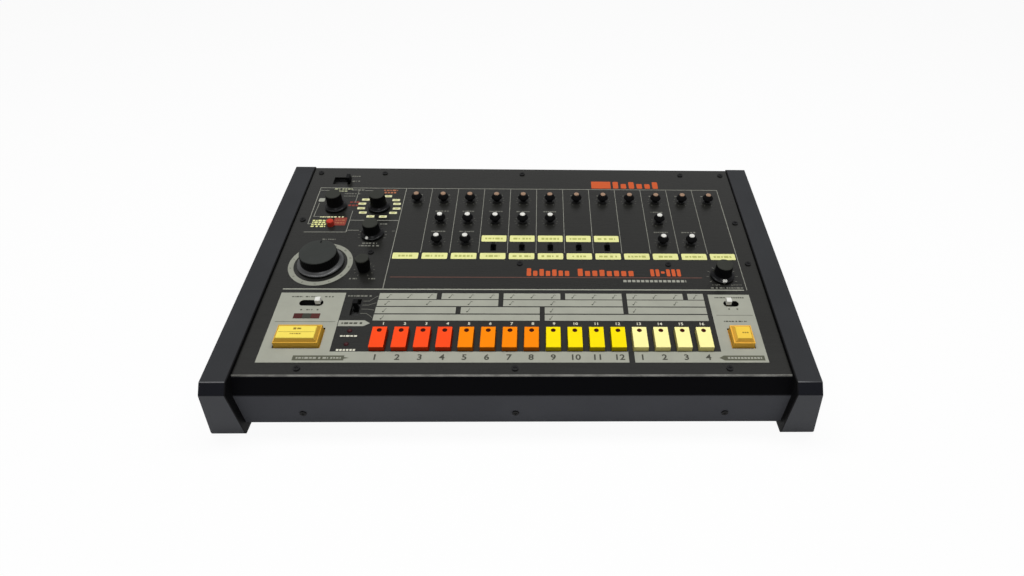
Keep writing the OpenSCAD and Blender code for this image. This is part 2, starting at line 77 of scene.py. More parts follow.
def voice_u(i):
    return voice_edge(i + 0.5)


def key_u(i):
    return (KEY_LEFT + KEY_PITCH * i) * PANEL_W


# ---- Camera: fitted to the photo; its focal length and centre are in the photo's pixels ----
PHOTO_W, PHOTO_H, SENSOR = 1024, 576, 36
YAW, PITCH, ROLL = 0.033634, 0.652499, 0.023213
FOCAL, CENTRE_X, CENTRE_Y = 690.934, 559.270, 291.358
CAMERA_AT = (0.02065424, -0.53546817, 0.45057848)
look = Vector((math.sin(YAW) * math.cos(PITCH), math.cos(YAW) * math.cos(PITCH), -math.sin(PITCH)))
side = Vector((math.cos(YAW), -math.sin(YAW), 0))
rise = side.cross(look)
cam_x = math.cos(ROLL) * side + math.sin(ROLL) * rise
cam_y = -math.sin(ROLL) * side + math.cos(ROLL) * rise
cam_data = bpy.data.cameras.new("camera")
cam = bpy.data.objects.new("camera", cam_data)
bpy.context.scene.collection.objects.link(cam)
cam.matrix_world = Matrix((
    (cam_x.x, cam_y.x, -look.x, CAMERA_AT[0]),
    (cam_x.y, cam_y.y, -look.y, CAMERA_AT[1]),
    (cam_x.z, cam_y.z, -look.z, CAMERA_AT[2]),
    (0, 0, 0, 1)))
cam_data.sensor_width = SENSOR
cam_data.lens = FOCAL * SENSOR / PHOTO_W
cam_data.shift_x = (PHOTO_W / 2 - CENTRE_X) / PHOTO_W
cam_data.shift_y = (CENTRE_Y - PHOTO_H / 2) / PHOTO_W
cam_data.clip_start = 0.01
bpy.context.scene.camera = cam


# ---- Materials ----
GRAIN_DEPTH = 0.0002


def rgb(hexa):
    """A hex colour in linear light."""
    out = []
    for k in (1, 3, 5):
        c = int(hexa[k:k + 2], 16) / 255
        out.append(c / 12.92 if c <= 0.04045 else ((c + 0.055) / 1.055) ** 2.4)
    return (*out, 1.0)


def vary(c, k):
    """A colour, k times as bright."""
    return (min(1, c[0] * k), min(1, c[1] * k), min(1, c[2] * k), 1.0)


class Nodes:
    """A small helper round a material's node tree."""

    def __init__(self, name):
        self.mat = bpy.data.materials.new(name)
        self.mat.use_nodes = True
        self.tree = self.mat.node_tree
        self.bsdf = self.tree.nodes["Principled BSDF"]
        self.coords = self.new("ShaderNodeTexCoord")

    def new(self, kind, **settings):
        n = self.tree.nodes.new(kind)
        for k, v in settings.items():
            setattr(n, k, v)
        return n

    def link(self, a, b):
        self.tree.links.new(a, b)

    def noise(self, scale, detail=3.0, rough=0.5, stretch=None):
        n = self.new("ShaderNodeTexNoise")
        n.inputs["Scale"].default_value = scale
        n.inputs["Detail"].default_value = detail
        n.inputs["Roughness"].default_value = rough
        place = self.coords.outputs["Object"]
        if stretch:
            m = self.new("ShaderNodeMapping")
            m.inputs["Scale"].default_value = stretch
            self.link(place, m.inputs["Vector"])
            place = m.outputs[0]
        self.link(place, n.inputs["Vector"])
        return n.outputs["Fac"]

    def spread(self, value, a, b, lo=0.3, hi=0.7):
        """Maps lo to hi onto a to b, and holds it there outside."""
        n = self.new("ShaderNodeMapRange")
        n.inputs["From Min"].default_value = lo
        n.inputs["From Max"].default_value = hi
        n.inputs["To Min"].default_value = a
        n.inputs["To Max"].default_value = b
        self.link(value, n.inputs["Value"])
        return n.outputs["Result"]

    def math(self, op, a, b):
        n = self.new("ShaderNodeMath", operation=op)
        for k, x in enumerate((a, b)):
            if isinstance(x, (int, float)):
                n.inputs[k].default_value = x
            else:
                self.link(x, n.inputs[k])
        return n.outputs[0]

    def mix(self, fac, a, b):
        """Colour a where fac is 0 and colour b where it is 1."""
        n = self.new("ShaderNodeMix", data_type="RGBA")
        self.link(fac, n.inputs["Factor"])
        for key, x in (("A", a), ("B", b)):
            s = [i for i in n.inputs if i.name == key and i.type == "RGBA"][0]
            if isinstance(x, tuple):
                s.default_value = x
            else:
                self.link(x, s)
        return [o for o in n.outputs if o.type == "RGBA"][0]

    def along(self, x, y, z):
        """The object coordinate's component along a direction, in metres."""
        n = self.new("ShaderNodeVectorMath", operation="DOT_PRODUCT")
        self.link(self.coords.outputs["Object"], n.inputs[0])
        n.inputs[1].default_value = (x, y, z)
        return n.outputs["Value"]

    def step(self, value, edge, soft):
        """0 below edge - soft, 1 above edge + soft."""
        return self.spread(value, 0.0, 1.0, edge - soft, edge + soft)

    def shade(self, colour, rough, spec, grain, strength, metal=0.0):
        """Joins the parts of a finish to its shader, with the grain as a fine bump."""
        self.link(colour, self.bsdf.inputs["Base Color"])
        self.link(rough, self.bsdf.inputs["Roughness"])
        self.bsdf.inputs["Specular IOR Level"].default_value = spec
        self.bsdf.inputs["Metallic"].default_value = metal
        n = self.new("ShaderNodeBump")
        n.inputs["Strength"].default_value = strength
        n.inputs["Distance"].default_value = GRAIN_DEPTH
        self.link(grain, n.inputs["Height"])
        self.link(n.outputs["Normal"], self.bsdf.inputs["Normal"])
        return self.mat


def finish_mat(name, hexa, rough, spread=0.12, metal=0.0, spec=0.5, grain=2200.0,
               grain_strength=0.15, tone=0.10, stretch=None):
    """A base colour that drifts a little, a roughness that varies, and a fine grain."""
    m = Nodes(name)
    c = rgb(hexa)
    big = m.noise(60, 4.0, 0.55)
    fine = m.noise(grain, 2.0, 0.6, stretch)
    colour = m.mix(m.spread(big, 0, 1), vary(c, 1 - tone), vary(c, 1 + tone))
    colour = m.mix(m.spread(fine, 0, 0.35), colour, vary(c, 1 - 1.5 * tone))
    rough = m.math("ADD", m.spread(big, -spread / 2, spread / 2),
                   m.spread(fine, rough - spread / 3, rough + spread / 3))
    return m.shade(colour, rough, spec, fine, grain_strength, metal)


def panel_paint():
    """Half-gloss paint: a fine stipple, faint rub marks, and a pale painted highlight along the
    front edge, broken up unevenly.
    """
    m = Nodes("panel_paint_look")
    base = rgb("#1d1d1b")
    big = m.noise(14, 5.0, 0.6)
    fine = m.noise(2600, 2.0, 0.6)
    rub = m.noise(40, 5.0, 0.65, (0.25, 1.5, 1.0))
    colour = m.mix(m.spread(big, 0, 1), vary(base, 0.93), vary(base, 1.08))
    colour = m.mix(m.spread(fine, 0, 0.4), colour, vary(base, 0.82))
    # Painted highlight: a pale line along the face's front edge, uneven in strength.
    near = m.spread(m.along(0, CS, SN), 1.0, 0.0, FACE_START + 0.0002, FACE_START + 0.0011)
    highlight_breaks = m.spread(m.noise(160, 4.0, 0.6, (0.5, 1, 1)), 0.5, 1.0, 0.35, 0.6)
    colour = m.mix(m.math("MULTIPLY", near, highlight_breaks), colour, rgb("#8d8c86"))
    rough = m.math("ADD", m.spread(rub, -0.03, 0.03), m.spread(fine, 0.25, 0.31))
    return m.shade(colour, rough, 0.16, fine, 0.03)


# The chamfer at the case's front: forward of this and above this, in metres
CHAMFER_Y, CHAMFER_Z = 0.1357, 0.0440


def case_paint():
    """The case's paint, with painted shade: near black on the blunt edge that tucks under the
    panel.
    """
    m = Nodes("case_paint_look")
    base = rgb("#494a4e")
    big = m.noise(12, 5.0, 0.6)
    fine = m.noise(2200, 2.0, 0.6)
    colour = m.mix(m.spread(big, 0, 1), vary(base, 0.92), vary(base, 1.1))
    colour = m.mix(m.spread(fine, 0, 0.4), colour, vary(base, 0.8))
    # Painted shade: the chamfer under the panel's front edge is near black.
    front = m.step(m.along(0, -1, 0), CHAMFER_Y, 0.0004)
    above = m.step(m.along(0, 0, 1), CHAMFER_Z, 0.0008)
    colour = m.mix(m.math("MULTIPLY", front, above), colour, rgb("#09090b"))
    return m.shade(colour, m.spread(fine, 0.55, 0.68), 0.02, fine, 0.16)


# The cheek's zones, in metres: y is counted forward, and the painted highlight along the top edge
# is fainter on the outer part of the right cheek
BROW_Z = 0.0541                             # the nose is above it, the sloping front below
SLOPED_Y, NOSE_Y = 0.1435, 0.14555
EDGE_Y0, EDGE_Y1, EDGE_Z = 0.14470, 0.14560, 0.0605
HIGHLIGHT_X0, HIGHLIGHT_X1, INNER_X = 0.230, 0.240, 0.2262


def cheek_plastic():
    """Moulded plastic with a leathery grain, and painted light and shade: a lighter sloped front, a
    dark nose, a pale highlight along its edge and black inner faces.
    """
    m = Nodes("cheek_plastic_look")
    base = rgb("#2e2f31")
    big = m.noise(16, 4.0, 0.6)
    cells = m.new("ShaderNodeTexVoronoi")
    cells.inputs["Scale"].default_value = 900
    m.link(m.coords.outputs["Object"], cells.inputs["Vector"])
    fine = m.noise(1800, 3.0, 0.6)
    colour = m.mix(m.spread(big, 0, 1), vary(base, 0.93), vary(base, 1.09))
    x, y, z = m.along(1, 0, 0), m.along(0, -1, 0), m.along(0, 0, 1)
    below = m.step(m.math("SUBTRACT", BROW_Z, z), 0.0, 0.0005)
    # Painted light: the sloped front below the brow is a lighter grey than the top.
    lit_sloped_front = m.math("MULTIPLY", below, m.step(y, SLOPED_Y, 0.0008))
    colour = m.mix(lit_sloped_front, colour, rgb("#4a4b4e"))
    # Painted shade: the nose above the brow is near black.
    nose_shade = m.math("MULTIPLY", m.step(z, BROW_Z, 0.0005), m.step(y, NOSE_Y, 0.0002))
    colour = m.mix(nose_shade, colour, rgb("#111217"))
    # Painted highlight: a pale line along the top front edge, fainter on the outer part of the
    # right cheek.
    edge = m.math("MULTIPLY", m.step(y, EDGE_Y0, 0.00025),
                  m.step(m.math("SUBTRACT", EDGE_Y1, y), 0.0, 0.0002))
    rub = m.math("MULTIPLY", m.math("MULTIPLY", edge, m.step(z, EDGE_Z, 0.0004)),
                 m.spread(x, 0.34, 0.1, HIGHLIGHT_X0, HIGHLIGHT_X1))
    colour = m.mix(rub, colour, rgb("#9a9a9c"))
    # Painted shade: the faces that look in towards the panel are near black.
    inner_shade = m.step(m.math("SUBTRACT", INNER_X, m.math("ABSOLUTE", x, 0)), 0.0, 0.0002)
    colour = m.mix(inner_shade, colour, rgb("#050506"))
    grain = m.math("ADD", m.math("MULTIPLY", cells.outputs["Distance"], 0.6), fine)
    return m.shade(colour, m.spread(fine, 0.56, 0.68), 0.07, grain, 0.10)


def boards():
    """Green solder mask under black switch and pot bodies."""
    m = Nodes("board_look")
    fine = m.noise(900, 3.0, 0.6)
    green = m.mix(m.spread(m.noise(120, 3.0), 0, 1), rgb("#1f4a2b"), rgb("#2c6238"))
    black = m.mix(m.spread(fine, 0, 1), rgb("#030303"), rgb("#060606"))
    board_top = FACE_DEPTH - 0.0149
    colour = m.mix(m.step(m.along(0, -SN, CS), board_top, 0.00005), green, black)
    return m.shade(colour, m.spread(fine, 0.45, 0.65), 0.5, fine, 0.15)


def moulded(name, face_hex, shaded_side_hex, top):
    """Buttons and keys: the face colour top mm up, and a deeper, darker colour down the sides as
    painted shade.
    """
    m = Nodes(name)
    a, b = rgb(face_hex), rgb(shaded_side_hex)
    big, fine = m.noise(90, 4.0, 0.55), m.noise(1300, 2.0, 0.6)
    face = m.mix(m.spread(big, 0, 1), vary(a, 0.97), vary(a, 1.02))
    side = m.mix(m.spread(fine, 0, 1), vary(b, 0.9), vary(b, 1.08))
    level = FACE_DEPTH + (top - 0.55) * MM
    # Painted shade: the sides below the face take the darker side colour.
    colour = m.mix(m.step(m.along(0, -SN, CS), level, 0.25 * MM), side, face)
    rough = m.math("ADD", m.spread(big, -0.03, 0.03), m.spread(fine, 0.48, 0.56))
    return m.shade(colour, rough, 0.04, fine, 0.07)


def lever_plastic():
    """Pale levers: pale over the panel's face, and dark with painted shade where they run down into
    the slot.
    """
    m = Nodes("lever_white_look")
    fine = m.noise(1300, 3.0, 0.6)
    pale = m.mix(m.spread(fine, 0, 1), rgb("#cdcdc7"), rgb("#d8d8d2"))
    level = FACE_DEPTH + 0.0007
    # Painted shade: near black below the panel's face, inside the slot.
    colour = m.mix(m.step(m.along(0, -SN, CS), level, 0.0001), rgb("#070707"), pale)
    return m.shade(colour, m.spread(fine, 0.45, 0.6), 0.06, fine, 0.07)


# Each finish: name, colour, roughness and what else differs from the plain one
INK = dict(spec=0.08, grain=2400.0, grain_strength=0.08, tone=0.06)
SHELL = dict(spec=0.05, grain=1300.0, grain_strength=0.07, tone=0.05)
MATT = dict(spec=0.06, grain=1600.0, grain_strength=0.15, tone=0.12)
SMOOTH = dict(spread=0.08, grain=1600.0, grain_strength=0.05)
FINISHES = [
    ("screw", "#09090a", 0.5, dict(spec=0.12, grain=900.0, grain_strength=0.2)),
    ("black", "#0a0a0b", 0.5, dict(MATT, spec=0.04)),
    ("knob_top", "#31322e", 0.65, MATT),
    ("tempo_top", "#343634", 0.62, MATT),
    ("skirt", "#060608", 0.3, dict(SMOOTH, spec=0.1)),
    ("tempo_skirt", "#262728", 0.36, dict(SMOOTH, spec=0.45)),
    ("plate", "#9b9c90", 0.6, INK),
    ("ring", "#8b8c81", 0.6, INK),
    ("yellow", "#dcdc96", 0.55, INK),
    ("white", "#94948a", 0.6, INK),
    ("bright", "#d2d0be", 0.55, INK),
    ("faint", "#6f6f67", 0.6, INK),
    ("orange", "#bd5630", 0.6, INK),
    ("orange_line", "#64463f", 0.6, INK),
    ("red_ink", "#7f3b32", 0.6, INK),
    ("amber", "#a0664a", 0.6, INK),
    ("pad", "#d6d4a8", 0.55, INK),
    ("moss", "#9a9c80", 0.6, INK),
    ("box", "#56574a", 0.6, INK),
    ("ink", "#45453d", 0.6, INK),
    ("olive", "#a9ab62", 0.6, INK),
    ("brown", "#8a7430", 0.6, INK),
    ("clear", "#b5392c", 0.4, SHELL),
    ("cap_orange", "#937762", 0.4, dict(SHELL, spec=0.15)),
    ("cap_white", "#d6d5cf", 0.35, dict(SHELL, tone=0.02)),
    ("lever_black", "#0a0a0b", 0.5, MATT),
    ("lamp", "#34090f", 0.4, dict(SHELL, spec=0.15)),
    ("lens", "#380c05", 0.6, SHELL),
    ("window_left", "#43211f", 0.5, dict(SHELL, spec=0.06)),
    ("window_mid", "#393a33", 0.5, dict(SHELL, spec=0.06)),
    ("window_right", "#4e2a27", 0.5, dict(SHELL, spec=0.06)),
    ("socket", "#121213", 0.5, MATT),
    ("gap", "#060606", 0.7, MATT),
    ("nickel", "#b9b9b4", 0.26,
     dict(metal=1.0, grain=900.0, grain_strength=0.08, stretch=(1, 0.1, 1))),
    ("pin", "#c9a86a", 0.25, dict(metal=1.0, grain=900.0, grain_strength=0.05)),
]
# Each moulded colour: name, face, sides in a darker colour as painted shade, and the height of its
# face over the panel
MOULDED = [
    ("key_red", "#f24a1c", "#a52a0c", KEY_H),
    ("key_orange", "#f38304", "#9a4d06", KEY_H),
    ("key_yellow", "#f2da06", "#9c8a08", KEY_H),
    ("key_cream", "#f7efa0", "#cfc57c", KEY_H),
    ("start", "#ecd65d", "#cc9f3d", BUTTON_TOP),
    ("tap", "#e8c24a", "#e6b146", BUTTON_TOP),
]
M = {"panel": panel_paint(), "case": case_paint(), "cheek": cheek_plastic(), "boards": boards(),
     "lever_white": lever_plastic()}
for key, face, shaded_sides, top in MOULDED:
    M[key] = moulded(key + "_look", face, shaded_sides, top)
for key, colour, rough, more in FINISHES:
    M[key] = finish_mat(key + "_look", colour, rough, **more)


# ---- Mesh helpers ----
TURNED_SHARP, NUT_SHARP = 32, 30        # edges sharper than this stay sharp, in degrees


def piece(name, verts, faces, mats, body, matrix=None, indices=None, smooth=None):
    """A new piece that rides on a body; without smooth, its faces stay flat."""
    me = bpy.data.meshes.new(name)
    me.from_pydata(verts, [], faces)
    if matrix is not None:
        me.transform(matrix)
    for m in mats:
        me.materials.append(M[m])
    if indices:
        me.polygons.foreach_set("material_index", indices)
    me.validate()
    me.update()
    ob = bpy.data.objects.new(name, me)
    bpy.context.scene.collection.objects.link(ob)
    if smooth is not None:
        me.polygons.foreach_set("use_smooth", [True] * len(me.polygons))
        me.set_sharp_from_angle(angle=math.radians(smooth))
    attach(ob, body)
    return ob


class Ink:
    """Flat printed shapes on one layer, gathered into one thin mesh."""

    def __init__(self, name, mat, w=0.08, body="case", matrix=PANEL, slot=None):
        self.name, self.mat, self.w, self.body = name, mat, w, body
        self.matrix, self.slot = matrix, slot
        self.v, self.f = [], []

    def poly(self, pts):
        k = len(self.v)
        self.v += [(x, y, self.w) for x, y in pts]
        self.f.append(tuple(range(k, k + len(pts))))

    def rect(self, u0, v0, u1, v1):
        self.poly([(u0, v0), (u1, v0), (u1, v1), (u0, v1)])

    def box(self, u, v, w, h):
        self.rect(u - w / 2, v - h / 2, u + w / 2, v + h / 2)

    def soft(self, u0, v0, u1, v1, r):
        """A rectangle with round corners."""
        corners = ((u1 - r, v1 - r), (u0 + r, v1 - r), (u0 + r, v0 + r), (u1 - r, v0 + r))
        pts = []
        for k, (u, v) in enumerate(corners):
            for j in range(5):
                a = math.pi / 2 * (k + j / 4)
                pts.append((u + r * math.cos(a), v + r * math.sin(a)))
        self.poly(pts)

    def line(self, pts, t):
        """Straight strokes of width t from point to point."""
        for a, b in zip(pts, pts[1:]):
            dx, dy = b[0] - a[0], b[1] - a[1]
            n = math.hypot(dx, dy)
            ox, oy = -dy / n * t / 2, dx / n * t / 2
            ex, ey = dx / n * t / 2, dy / n * t / 2
            self.poly([(a[0] - ex + ox, a[1] - ey + oy), (a[0] - ex - ox, a[1] - ey - oy),
                       (b[0] + ex - ox, b[1] + ey - oy), (b[0] + ex + ox, b[1] + ey + oy)])

    def disc(self, u, v, r, n=20):
        """A filled circle of n corners."""
        turns = [2 * math.pi * k / n for k in range(n)]
        self.poly([(u + r * math.cos(a), v + r * math.sin(a)) for a in turns])

    def ring(self, u, v, r0, r1, n=96):
        """A flat ring from radius r0 to r1."""
        turns = [math.radians(360.0 * k / n) for k in range(n + 1)]
        for a, b in zip(turns, turns[1:]):
            self.poly([(u + r * math.cos(t), v + r * math.sin(t))
                       for r, t in ((r0, a), (r1, a), (r1, b), (r0, b))])

    def dashes(self, u0, u1, v, h, seed=1):
        """A row of short bars of uneven width that stands where words would be."""
        x, k = u0, seed
        while x < u1 - 0.3:
            k = (k * 7 + 3) % 11
            w = h * (0.45 + 0.09 * k)
            half = h / 2 * (0.7 + 0.04 * (k % 6))
            self.rect(x, v - half, min(x + w, u1), v + half)
            x += w + h * (0.34 if k % 4 else 0.8)

    def rows(self, *rows):
        """Rows of dashes, each as u0, u1, v, h and seed."""
        for row in rows:
            self.dashes(*row)

    def ticks(self, u, v, r0, r1, angles, t):
        """Marks round a knob, from one radius to another."""
        for a in angles:
            c, s = math.cos(math.radians(a)), math.sin(math.radians(a))
            self.line([(u + r0 * c, v + r0 * s), (u + r1 * c, v + r1 * s)], t)

    def fill(self, cu, place):
        """The filled shape of a curve or a text, with each point put where place says."""
        ob = bpy.data.objects.new(cu.name, cu)
        bpy.context.scene.collection.objects.link(ob)
        depsgraph = bpy.context.evaluated_depsgraph_get()
        me = bpy.data.meshes.new_from_object(ob.evaluated_get(depsgraph))
        k = len(self.v)
        self.v += [(*place(p.co.x, p.co.y), self.w) for p in me.vertices]
        self.f += [tuple(k + i for i in p.vertices) for p in me.polygons]
        bpy.data.objects.remove(ob)
        bpy.data.curves.remove(cu)
        bpy.data.meshes.remove(me)

    def text(self, words, size, u, v, wide=1.0, turn=0.0, bold=0.0):
        cu = bpy.data.curves.new("text", "FONT")
        cu.offset = bold * size
        cu.body, cu.size, cu.align_x, cu.align_y = words, size, "CENTER", "CENTER"
        cu.resolution_u = 3
        c, s = math.cos(math.radians(turn)), math.sin(math.radians(turn))
        self.fill(cu, lambda x, y: (u + x * wide * c - y * s, v + x * wide * s + y * c))

    def outline(self, *loops):
        """A filled shape with holes: the first loop is the outer one."""
        cu = bpy.data.curves.new("outline", "CURVE")
        cu.dimensions, cu.fill_mode = "2D", "BOTH"
        for loop in loops:
            sp = cu.splines.new("POLY")
            sp.points.add(len(loop) - 1)
            for p, (x, y) in zip(sp.points, loop):
                p.co = (x, y, 0, 1)
            sp.use_cyclic_u = True
        self.fill(cu, lambda x, y: (x, y))

    def make(self):
        return piece(self.name, self.v, self.f, [self.mat], self.body, self.matrix)


def box_loop(u, v, w, l):
    return [(u - w / 2, v - l / 2), (u + w / 2, v - l / 2),
            (u + w / 2, v + l / 2), (u - w / 2, v + l / 2)]


def round_loop(u, v, w, l, n=10):
    """The outline of a slot that is longer than it is tall, with round ends."""
    r, pts = l / 2, []
    for k in range(2 * n):
        a = math.pi * k / n - math.pi / 2
        run = (w / 2 - r) * (1 if k < n else -1)
        pts.append((u + run + r * math.cos(a), v + r * math.sin(a)))
    return pts


def turned(name, rings, mats, body, matrix, seg, flutes=0, cap=True):
    """A turned form: each ring is a radius, a height, a material's number and a flute's depth."""
    verts, faces, index = [], [], []
    for r, h, _, d in rings:
        for k in range(seg):
            a = 2 * math.pi * k / seg
            dip = d * (0.5 - 0.5 * math.cos(flutes * a)) if flutes else 0
            verts.append(((r - dip) * math.cos(a), (r - dip) * math.sin(a), h))
    for i in range(len(rings) - 1):
        for k in range(seg):
            j = (k + 1) % seg
            faces.append((i * seg + k, i * seg + j, (i + 1) * seg + j, (i + 1) * seg + k))
            index.append(rings[i + 1][2])
    if cap:
        last = (len(rings) - 1) * seg
        faces.append(tuple(reversed(range(seg))))
        index.append(rings[0][2])
        faces.append(tuple(last + k for k in range(seg)))
        index.append(rings[-1][2])
    return piece(name, verts, faces, mats, body, matrix, index, TURNED_SHARP)


# ---- Knobs ----
SHAFT_R, SHAFT_END = 3.0, -12.5
SKIRT_LIFT, FLARE_STEPS, DOME_STEPS = 1.2, 7, 5
DOT_INSET, DOT_LIFT, DOT_TILT = 1.5, 2.1, 40
BODY, RIM, TOP, CAP = 0, 1, 2, 1        # the materials' numbers; a cap stands where a rim would


def knob(node, place, rings, mats, flutes):
    ob = turned(node + "_turned", rings, mats, node, at(*place), flutes * 6, flutes)
    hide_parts(node)


def skirted(node, place, h, grip=7.6, skirt=11.0, flutes=30, depth=0.28, top="knob_top",
            rim="skirt", dot=None, dot_r=1.5):
    """A fluted grip over a flared skirt, with its shaft; dot is a white spot's angle on it."""
    lift, edge = SKIRT_LIFT, skirt - 0.3
    rings = [(SHAFT_R, SHAFT_END, BODY, 0), (SHAFT_R, lift, BODY, 0), (skirt - 0.5, lift, RIM, 0),
             (skirt, lift + 0.3, RIM, 0), (skirt, lift + 0.95, RIM, 0), (edge, lift + 1.25, RIM, 0)]
    run = edge - (grip + 0.7)
    for k in range(1, FLARE_STEPS + 1):
        t = k / FLARE_STEPS
        rings.append((edge - run * t, lift + 1.25 + 1.95 * t ** 1.7, RIM, 0))
    rings += [(grip + 0.35, lift + 3.5, BODY, 0), (grip + 0.3, lift + 4.2, BODY, depth),
              (grip + 0.1, h - 1.6, BODY, depth), (grip, h - 0.9, BODY, depth * 0.6),
              (grip - 0.25, h - 0.4, TOP, 0), (grip - 0.75, h - 0.1, TOP, 0),
              (grip - 1.3, h, TOP, 0), (grip * 0.55, h - 0.06, TOP, 0),
              (grip * 0.2, h - 0.1, TOP, 0)]
    knob(node, place, rings, ["black", rim, top], flutes)
    if dot is not None:
        spot = Ink(node + "_dot", "cap_white", 0, node,
                   at(*place) @ Matrix.Rotation(math.radians(dot), 4, "Z")
                   @ Matrix.Translation((skirt - DOT_INSET, 0, lift + DOT_LIFT))
                   @ Matrix.Rotation(math.radians(DOT_TILT), 4, "Y"), "key_cream")
        spot.disc(0, 0, dot_r)
        spot.make()


skirted("mode_knob", MODE, 17.0)
skirted("instrument_knob", INSTRUMENT, 17.0)
skirted("fill_knob", FILL, 15.2, dot=-112)
# The volume knob's pointer dot is drawn larger: partly the real dot, partly a painted highlight on
# the skirt.
skirted("volume_knob", VOLUME, 15.2, dot=-88, dot_r=2.1)
skirted("tempo_knob", TEMPO, 14.5, 17.0, 21.2, 44, 0.35, "tempo_top", "tempo_skirt")
# The notch is a flat dark strip on the top: painted shade standing in for a groove.
notch = Ink("tempo_knob_notch", "gap", 14.54, "tempo_knob", at(*TEMPO), "knob_black")
notch.rect(-0.7, 12.4, 0.7, 15.6)
notch.make()

FINE_RINGS = [
    (SHAFT_R, SHAFT_END, BODY, 0), (SHAFT_R, 1.2, BODY, 0), (5.6, 1.2, BODY, 0),
    (5.75, 2.4, BODY, 0.15), (6.05, 5.0, BODY, 0.25), (6.35, 7.2, BODY, 0.3), (6.4, 8.2, BODY, 0.3),
    (6.4, 13.4, BODY, 0.3), (6.25, 14.0, CAP, 0.15), (5.9, 14.35, CAP, 0), (5.3, 14.5, CAP, 0),
    (3.0, 14.45, CAP, 0), (1.0, 14.42, CAP, 0)]
knob("fine_knob", FINE, FINE_RINGS, ["black", "knob_top"], 24)

# A small knob: a narrow foot, a ribbed grip that slopes in, and a domed cap
SMALL_RINGS = [
    (2.99, SHAFT_END, BODY, 0), (2.95, 0.9, BODY, 0), (2.7, 1.2, BODY, 0), (2.75, 2.1, BODY, 0),
    (3.3, 3.0, BODY, 0), (4.6, 3.7, BODY, 0), (5.4, 4.2, BODY, 0.1), (5.6, 4.7, BODY, 0.25),
    (5.45, 5.2, BODY, 0.3), (5.0, 6.0, BODY, 0.3), (4.2, 7.2, BODY, 0.3), (3.5, 8.2, BODY, 0.1),
    (3.15, 8.5, BODY, 0), (2.85, 8.62, BODY, 0), (2.62, 8.6, BODY, 0)]
for k in range(1, DOME_STEPS + 1):
    a = math.pi / 2 * k / DOME_STEPS
    SMALL_RINGS.append((1.9 + 0.72 * math.cos(a), 8.9 + 0.5 * math.sin(a), CAP, 0))
SMALL_RINGS += [(1.2, 9.53, CAP, 0), (0.6, 9.59, CAP, 0), (0.2, 9.6, CAP, 0)]
SMALL_KNOBS = [("level", range(VOICES), LEVEL_V, "cap_orange"),
               ("tone", TONE, TONE_V, "cap_white"),
               ("decay", DECAY, DECAY_V, "cap_white")]
for kind, voices, v, cap in SMALL_KNOBS:
    for i, voice in enumerate(voices):
        knob("%s_knob_%d" % (kind, i + 1), (voice_u(voice), v), SMALL_RINGS, ["black", cap], 18)


# ---- CAD nodes that stay: a finish each, and a bevel for some ----
def dress(node, mat, width=0.0, seg=3):
    """Gives a node its finish, and rounds its edges by width millimetres."""
    ob = nodes[node]
    if not ob.data.materials:
        ob.data.materials.append(M[mat])
    for s in ob.material_slots:
        s.material = M[mat]
    if width:
        b = ob.modifiers.new("edge", "BEVEL")
        b.width, b.segments = width * MM, seg
        b.limit_method, b.angle_limit = "ANGLE", math.radians(35)
        b.harden_normals = True
        b.use_clamp_overlap = True


dress("control_panel", "panel", 0.25, 2)
dress("chassis", "case")
dress("left_cheek", "cheek")
dress("right_cheek", "cheek")
dress("case_screws", "screw", 0.2, 2)
dress("circuit_boards", "boards")
dress("rear_sockets", "socket")
dress("indicator_lamps", "lamp")
dress("start_button", "start", 0.45)
dress("tap_button", "tap", 0.45)
dress("clear_button", "clear", 0.3)
dress("power_lever", "lever_black", 0.4)
dress("scale_lever", "lever_black", 0.4)
dress("voice_levers", "lever_black", 0.35)
dress("variation_lever", "lever_white", 0.5)
dress("fill_lever", "lever_white", 0.5)
KEYS = ["key_red"] * 4 + ["key_orange"] * 4 + ["key_yellow"] * 4 + ["key_cream"] * 4
for i in range(STEPS):
    dress("step_key_%d" % (i + 1), KEYS[i], 0.55)

# A low domed lens in the well of each key
LENS_RINGS = [(2.08, 3.45, 0, 0), (2.08, 4.25, 0, 0), (1.85, 4.45, 0, 0), (1.0, 4.6, 0, 0),
              (0.3, 4.62, 0, 0)]
for i in range(STEPS):
    node = "step_key_%d" % (i + 1)
    turned(node + "_lens", LENS_RINGS, ["lens"], node,
           at(key_u(i), KEY_V + KEY_LEN / 2 - LENS_INSET), 24)

# ---- Printed plates; all print floats a little over the paint, and marks over the plates ----
PLATE_V0, PLATE_V1 = 13.2, 24.9         # the strip in front of the keys
plate = Ink("print_plates", "plate", 0.06, slot="key_cream")
plate.outline([(-210.0, PLATE_V0), (93.4, PLATE_V0), (93.4, PLATE_V1), (-152.9, PLATE_V1),
               (-152.9, 94.0), (-210.0, 94.0)],
              box_loop(*START, *START_HOLE),
              round_loop(*VARIATION_SLOT))
plate.outline([(98.3, PLATE_V0), (208.9, PLATE_V0), (208.9, 92.8), (171.3, 92.8),
               (171.3, PLATE_V1), (98.3, PLATE_V1)],
              box_loop(*TAP, *TAP_HOLE),
              round_loop(*FILL_SLOT))

